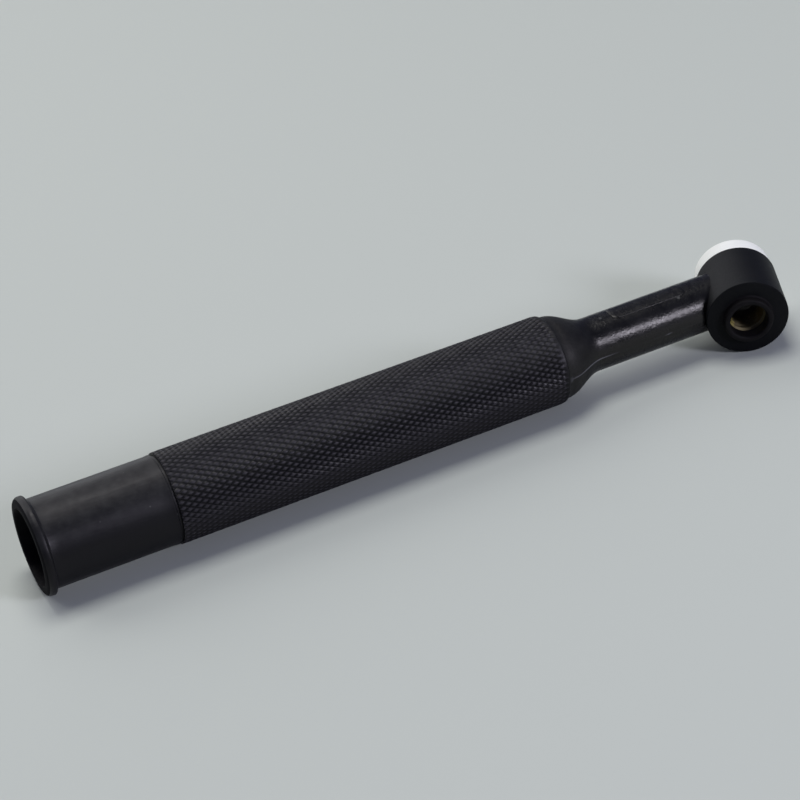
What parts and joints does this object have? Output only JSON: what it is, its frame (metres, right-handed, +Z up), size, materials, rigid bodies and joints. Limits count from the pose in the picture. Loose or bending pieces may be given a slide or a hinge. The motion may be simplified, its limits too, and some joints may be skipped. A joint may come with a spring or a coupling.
{
  "type": "tig torch",
  "caption": "Air-cooled TIG torch body: knurled tube handle, moulded neck and slanted barrel head whose through bore is threaded at both ends, with a white ring gasket on the cup side.",
  "frame": {"origin": "bottom centre of the part's box, on the plane that the torch lies on", "axes": "+X along the handle towards the head, +Z up; the head's cup side points to +Y and its back cap side to -Y"},
  "size_m": [0.2048, 0.028, 0.0246],
  "materials": {
    "nylon": "satin black moulded nylon with a diamond knurl on the grip",
    "moulding": "black moulded rubber, glossy on the neck and dull on the barrel",
    "phenolic": "smooth black phenolic",
    "gasket_white": "waxy white fluoropolymer",
    "brass": "turned bright brass",
    "copper": "drawn copper",
    "braze": "silver braze metal"
  },
  "bodies": {
    "torch": {"torch_cover": "moulding", "back_cap_seat": "phenolic", "head_core": "brass", "gas_tube": "copper", "cable_nipple": "brass", "braze_ring_head": "braze", "braze_ring_nipple": "braze"},
    "handle": {"handle": "nylon"},
    "gasket": {"cup_gasket": "gasket_white"}
  },
  "joints": [
    {"name": "handle_slide", "type": "slide", "parent": "torch", "child": "handle", "axis": [-1, 0, 0.0059], "range_m": [0, 0.06]},
    {"name": "gasket_slide", "type": "slide", "parent": "torch", "child": "gasket", "axis": [0.3614, 0.9302, 0.0649], "range_m": [0, 0.012]}
  ]
}
